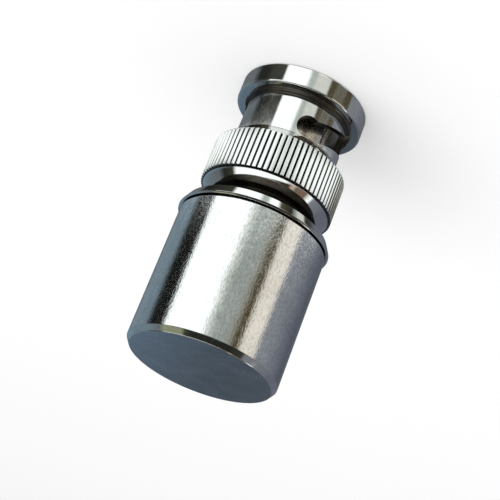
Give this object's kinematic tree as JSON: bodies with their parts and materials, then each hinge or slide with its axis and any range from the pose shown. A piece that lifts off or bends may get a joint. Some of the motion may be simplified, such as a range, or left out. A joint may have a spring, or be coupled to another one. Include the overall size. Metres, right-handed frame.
{
  "type": "rf dummy load",
  "caption": "Small coaxial dummy load: a round heat-sinking end cap with a male bayonet coupling plug that ends a cable or jack in a matched resistor.",
  "frame": {"origin": "centre of the coupling nut's open front face, on which the part stands", "axes": "+Z along the part's axis from the mating face towards the end cap; -Y is the side that the picture looks at"},
  "size_m": [0.0168, 0.0168, 0.0331],
  "materials": {
    "bright_nickel": "bright nickel plate on turned brass",
    "satin_nickel": "nickel plate over a fine turned surface with faint speckle",
    "tinned_contact": "dull nickel-plated spring bronze",
    "spring_steel": "bare spring strip",
    "gold_plate": "gold-plated brass",
    "brass": "turned brass",
    "white_plastic": "waxy white fluoroplastic",
    "grey_rubber": "moulded silicone rubber",
    "black_rubber": "moulded seal rubber",
    "ceramic": "film-coated ceramic"
  },
  "bodies": {
    "load": {"load_housing": "satin_nickel", "rear_collar": "bright_nickel", "plug_body": "bright_nickel", "outer_contact": "tinned_contact", "front_gasket": "grey_rubber", "front_insulator": "white_plastic", "centre_pin": "gold_plate", "rear_insulator": "white_plastic", "insulator_retainer": "brass", "insulating_washer": "white_plastic", "seam_seal": "black_rubber", "snap_ring": "spring_steel", "wave_spring_front": "spring_steel", "wave_spring_rear": "spring_steel", "resistor_rod": "ceramic", "resistor_front_cap": "gold_plate", "resistor_rear_cap": "gold_plate", "taper_sleeve": "brass", "contact_spring": "spring_steel"},
    "thrust_ring": {"thrust_washer": "brass"},
    "nut": {"coupling_nut": "bright_nickel"}
  },
  "joints": [
    {"name": "nut_slide", "type": "slide", "parent": "load", "child": "thrust_ring", "axis": [0, 0, -1], "range_m": [0, 0.0006], "stiffness_N_per_m": 4000, "springref_m": -0.0005, "deforming": ["wave_spring_front", "wave_spring_rear"]},
    {"name": "nut_spin", "type": "hinge", "parent": "thrust_ring", "child": "nut", "pos_m": [0, 0, 0], "axis": [0, 0, 1], "continuous": true}
  ]
}
